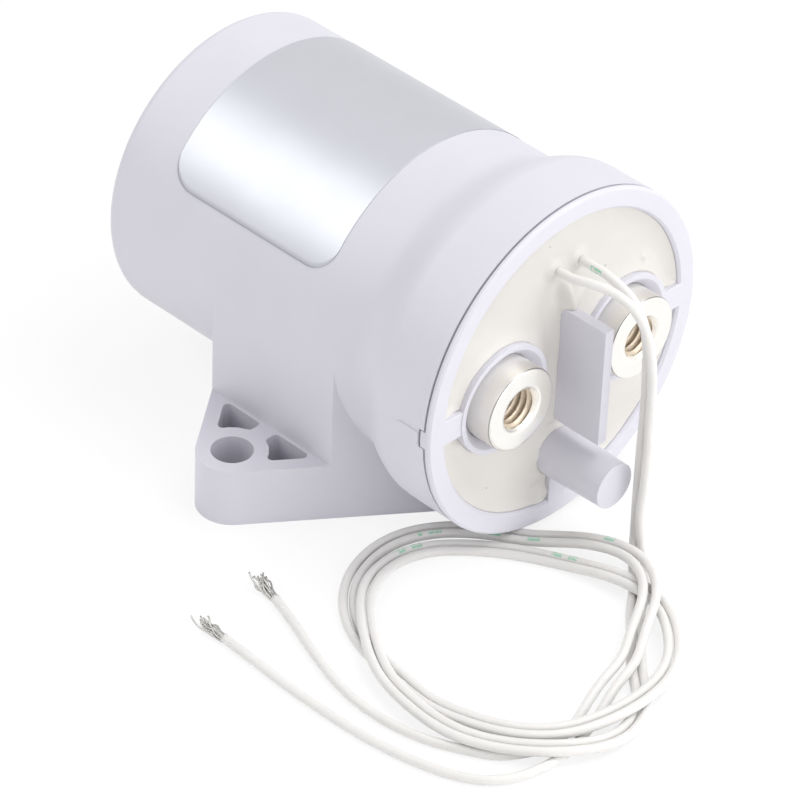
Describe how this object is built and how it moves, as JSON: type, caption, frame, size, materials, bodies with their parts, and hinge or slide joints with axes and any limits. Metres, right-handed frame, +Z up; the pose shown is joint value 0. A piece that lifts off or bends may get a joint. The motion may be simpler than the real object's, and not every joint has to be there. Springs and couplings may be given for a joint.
{
  "type": "high voltage dc contactor",
  "caption": "Sealed round relay in a grey moulded housing with mounting ears, threaded power terminals split by a barrier, potted front and loose coil leads.",
  "frame": {"origin": "on the mounting plane, midway between the two mounting holes", "axes": "+X across the ears, +Y from the terminals to the closed end, +Z up from the mounting plane"},
  "size_m": [0.0828, 0.0979, 0.0494],
  "materials": {
    "shell_plastic": "fine satin moulded plastic, pale lavender grey",
    "potting_resin": "poured off-white resin, soft gloss with a meniscus at the walls",
    "silver_plate": "turned and silver plated",
    "bright_steel": "turned steel",
    "copper_parts": "bare copper",
    "lead_insulation": "smooth white lead insulation",
    "tinned_strands": "tinned copper strands",
    "label_foil": "satin silver foil, blank",
    "magnet_block": "sintered block",
    "chamber_ceramic": "heat resistant moulding",
    "bobbin_plastic": "moulded spool"
  },
  "bodies": {
    "housing": {"housing": "shell_plastic", "front_cover": "shell_plastic", "potting": "potting_resin", "terminal_left": "silver_plate", "terminal_right": "silver_plate", "fixed_tip_left": "silver_plate", "fixed_tip_right": "silver_plate", "arc_chamber": "chamber_ceramic", "magnet_upper": "magnet_block", "magnet_lower": "magnet_block", "return_spring": "bright_steel", "fixed_core": "bright_steel", "plunger_sleeve": "bright_steel", "bobbin": "bobbin_plastic", "coil_winding": "copper_parts", "yoke_plate": "bright_steel", "yoke_can": "bright_steel", "inner_leads": "lead_insulation", "label": "label_foil", "lead_drop_a": "lead_insulation", "lead_drop_b": "lead_insulation", "lead_coil": "lead_insulation", "lead_tail_a": "lead_insulation", "lead_tail_b": "lead_insulation", "lead_strands_a": "tinned_strands", "lead_strands_b": "tinned_strands"},
    "armature": {"pull_shaft": "bright_steel", "plunger": "bright_steel", "spring_seat": "bright_steel", "bridge_clip": "bright_steel", "contact_spring": "bright_steel"},
    "bridge": {"contact_bridge": "copper_parts", "bridge_tips": "silver_plate"}
  },
  "joints": [
    {"name": "armature_slide", "type": "slide", "parent": "housing", "child": "armature", "axis": [0, -1, 0], "range_m": [0, 0.002], "stiffness_N_per_m": 900, "springref_m": -0.004, "deforming": ["return_spring"]},
    {"name": "bridge_slide", "type": "slide", "parent": "armature", "child": "bridge", "axis": [0, -1, 0], "range_m": [-0.0005, 0], "deforming": ["contact_spring"]}
  ],
  "couplings": [
    {"joint": "bridge_slide", "follows": "armature_slide", "ratio": -0.25}
  ]
}
